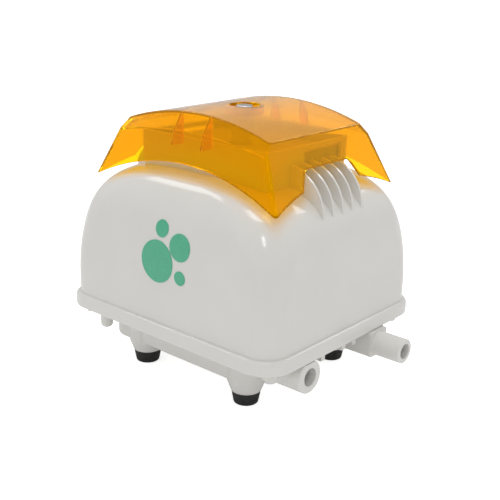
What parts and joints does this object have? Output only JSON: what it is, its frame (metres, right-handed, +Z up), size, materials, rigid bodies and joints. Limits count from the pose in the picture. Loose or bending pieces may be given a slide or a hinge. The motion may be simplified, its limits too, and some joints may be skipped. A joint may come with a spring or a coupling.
{
  "type": "aquarium air pump",
  "caption": "Linear diaphragm air pump: glossy white domed case on rubber feet, translucent amber filter cover with a screw, shoulder cooling fins, hose spigot outlet and cord inlet.",
  "frame": {"origin": "middle of the bounding box in X and Y, at the bottom of the rubber feet", "axes": "+X along the pump towards the air outlet, +Z up, -Y is the front with the badge"},
  "size_m": [0.2282, 0.176, 0.1976],
  "materials": {
    "white_abs": "glossy moulded",
    "amber_cover": "glossy translucent moulded plastic",
    "badge_print": "printed film",
    "foot_rubber": "matte",
    "seal_rubber": "matte",
    "diaphragm_rubber": "matte",
    "screw_steel": "zinc plated",
    "brass_insert": "machined",
    "filter_felt": "felt",
    "inner_plastic": "moulded",
    "cast_frame": "cast",
    "core_steel": "varnished laminations",
    "coil_wire": "enamelled copper wire",
    "magnet_black": "plated",
    "hose_rubber": "matte"
  },
  "bodies": {
    "case": {"base_tray": "white_abs", "bobbin_front": "inner_plastic", "bobbin_rear": "inner_plastic", "coil_front": "coil_wire", "coil_rear": "coil_wire", "cooling_fins": "white_abs", "core_front": "core_steel", "core_rear": "core_steel", "core_screws": "screw_steel", "cover_post": "white_abs", "diaphragm_left": "diaphragm_rubber", "diaphragm_right": "diaphragm_rubber", "filter_box": "white_abs", "filter_element": "filter_felt", "filter_grille": "inner_plastic", "foot_front_left": "foot_rubber", "foot_front_right": "foot_rubber", "foot_rear_left": "foot_rubber", "foot_rear_right": "foot_rubber", "foot_screws": "screw_steel", "foot_washers": "screw_steel", "frame_screws": "screw_steel", "front_badge": "badge_print", "grille_seats": "white_abs", "head_cover_left": "cast_frame", "head_cover_right": "cast_frame", "head_left": "cast_frame", "head_right": "cast_frame", "head_screws": "screw_steel", "housing_gasket": "seal_rubber", "housing_screws": "screw_steel", "outlet_nozzle": "white_abs", "outlet_o_ring": "seal_rubber", "pump_frame": "cast_frame", "screw_insert": "brass_insert", "tank_gasket": "seal_rubber", "tank_lid": "inner_plastic", "tank_lid_screws": "screw_steel", "terminal_block": "inner_plastic", "terminal_screws": "screw_steel", "transfer_hose_left": "hose_rubber", "transfer_hose_right": "hose_rubber", "upper_housing": "white_abs", "valve_plate_left": "cast_frame", "valve_plate_right": "cast_frame", "vibration_mounts": "seal_rubber"},
    "cover": {"filter_cover": "amber_cover"},
    "screw_washer": {"cover_screw_washer": "screw_steel"},
    "cover_screw": {"cover_screw": "screw_steel"},
    "shuttle": {"magnet_rod": "core_steel", "magnet_left": "magnet_black", "magnet_right": "magnet_black", "rod_sleeves": "cast_frame", "inner_discs": "cast_frame", "outer_discs": "cast_frame", "rod_nuts": "screw_steel"},
    "intake_valve_left": {"intake_flap_left": "diaphragm_rubber"},
    "intake_valve_right": {"intake_flap_right": "diaphragm_rubber"},
    "outlet_valve_left": {"outlet_flap_left": "diaphragm_rubber"},
    "outlet_valve_right": {"outlet_flap_right": "diaphragm_rubber"}
  },
  "joints": [
    {"name": "cover_lift", "type": "slide", "parent": "case", "child": "cover", "axis": [0, 0, 1], "range_m": [0, 0.12]},
    {"name": "cover_screw_rise", "type": "slide", "parent": "cover", "child": "screw_washer", "axis": [0, 0, 1], "range_m": [0, 0.012]},
    {"name": "cover_screw_turn", "type": "hinge", "parent": "screw_washer", "child": "cover_screw", "pos_m": [-0.0121, 0, 0.19], "axis": [0, 0, 1], "range_deg": [0, 4321]},
    {"name": "shuttle_stroke", "type": "slide", "parent": "case", "child": "shuttle", "axis": [1, 0, 0], "range_m": [-0.003, 0.003], "stiffness_N_per_m": 12000, "deforming": ["diaphragm_left", "diaphragm_right"]},
    {"name": "intake_valve_left_lift", "type": "slide", "parent": "case", "child": "intake_valve_left", "axis": [1, 0, 0], "range_m": [0, 0.0012], "stiffness_N_per_m": 20},
    {"name": "outlet_valve_left_lift", "type": "slide", "parent": "case", "child": "outlet_valve_left", "axis": [-1, 0, 0], "range_m": [0, 0.0012], "stiffness_N_per_m": 20},
    {"name": "intake_valve_right_lift", "type": "slide", "parent": "case", "child": "intake_valve_right", "axis": [-1, 0, 0], "range_m": [0, 0.0012], "stiffness_N_per_m": 20},
    {"name": "outlet_valve_right_lift", "type": "slide", "parent": "case", "child": "outlet_valve_right", "axis": [1, 0, 0], "range_m": [0, 0.0012], "stiffness_N_per_m": 20}
  ],
  "couplings": [
    {"joint": "cover_screw_turn", "follows": "cover_screw_rise", "rad_per_m": 6283.2}
  ]
}
